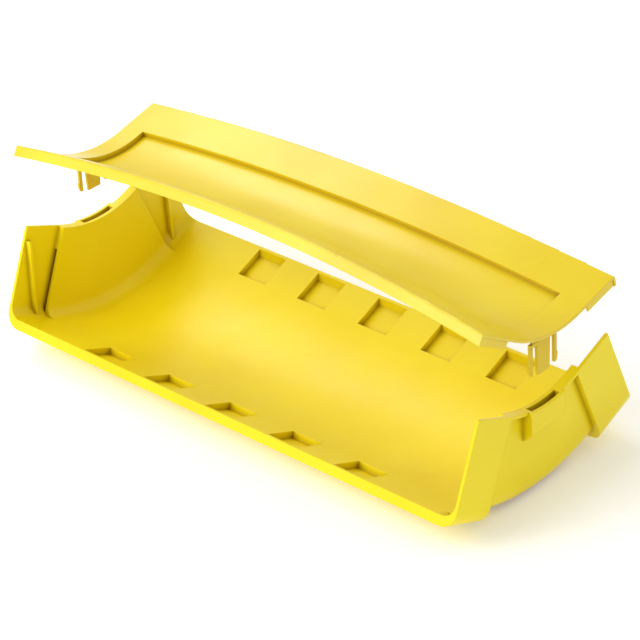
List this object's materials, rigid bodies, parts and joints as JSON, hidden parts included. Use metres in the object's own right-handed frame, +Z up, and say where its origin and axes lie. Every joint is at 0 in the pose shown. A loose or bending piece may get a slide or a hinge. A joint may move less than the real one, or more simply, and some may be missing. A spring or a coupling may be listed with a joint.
{
  "type": "cable raceway bend",
  "caption": "Wide trough-shaped cable raceway fitting bent forty-five degrees upward, flared sockets at both ends, with a crowned clip-on cover lifted off its walls",
  "frame": {"origin": "under the middle of the floor, where the underside touches z = 0", "axes": "+X across the channel, +Y along the cable run, +Z up out of the trough"},
  "size_m": [0.64, 0.2872, 0.2487],
  "materials": {
    "trough_plastic": "satin",
    "cover_plastic": "satin",
    "latch_plastic": "satin"
  },
  "bodies": {
    "trough": {"trough": "trough_plastic"},
    "latch_tabs": {"latch_tab_left": "latch_plastic", "latch_tab_right": "latch_plastic"},
    "cover": {"cover": "cover_plastic"},
    "snap_finger_left_front": {"snap_finger_left_front": "latch_plastic"},
    "snap_finger_left_rear": {"snap_finger_left_rear": "latch_plastic"},
    "snap_finger_right_front": {"snap_finger_right_front": "latch_plastic"},
    "snap_finger_right_rear": {"snap_finger_right_rear": "latch_plastic"}
  },
  "joints": [
    {"name": "cover_lift", "type": "slide", "parent": "trough", "child": "latch_tabs", "axis": [0, 0, 1], "range_m": [-0.0755, 0]},
    {"name": "cover_rock", "type": "hinge", "parent": "latch_tabs", "child": "cover", "pos_m": [0, 0, 0.181], "axis": [1, 0, 0], "range_deg": [0, 8.5]},
    {"name": "left_front_finger_flex", "type": "hinge", "parent": "latch_tabs", "child": "snap_finger_left_front", "pos_m": [-0.313, -0.0185, 0.1754], "axis": [-1, 0, 0], "range_deg": [-3, 3], "stiffness_Nm_per_rad": 0.6},
    {"name": "left_rear_finger_flex", "type": "hinge", "parent": "latch_tabs", "child": "snap_finger_left_rear", "pos_m": [-0.313, 0.0185, 0.1754], "axis": [1, 0, 0], "range_deg": [-3, 3], "stiffness_Nm_per_rad": 0.6},
    {"name": "right_front_finger_flex", "type": "hinge", "parent": "latch_tabs", "child": "snap_finger_right_front", "pos_m": [0.313, -0.0185, 0.1754], "axis": [-1, 0, 0], "range_deg": [-3, 3], "stiffness_Nm_per_rad": 0.6},
    {"name": "right_rear_finger_flex", "type": "hinge", "parent": "latch_tabs", "child": "snap_finger_right_rear", "pos_m": [0.313, 0.0185, 0.1754], "axis": [1, 0, 0], "range_deg": [-3, 3], "stiffness_Nm_per_rad": 0.6}
  ],
  "couplings": [
    {"joint": "cover_rock", "follows": "cover_lift", "rad_per_m": -1.9649}
  ]
}
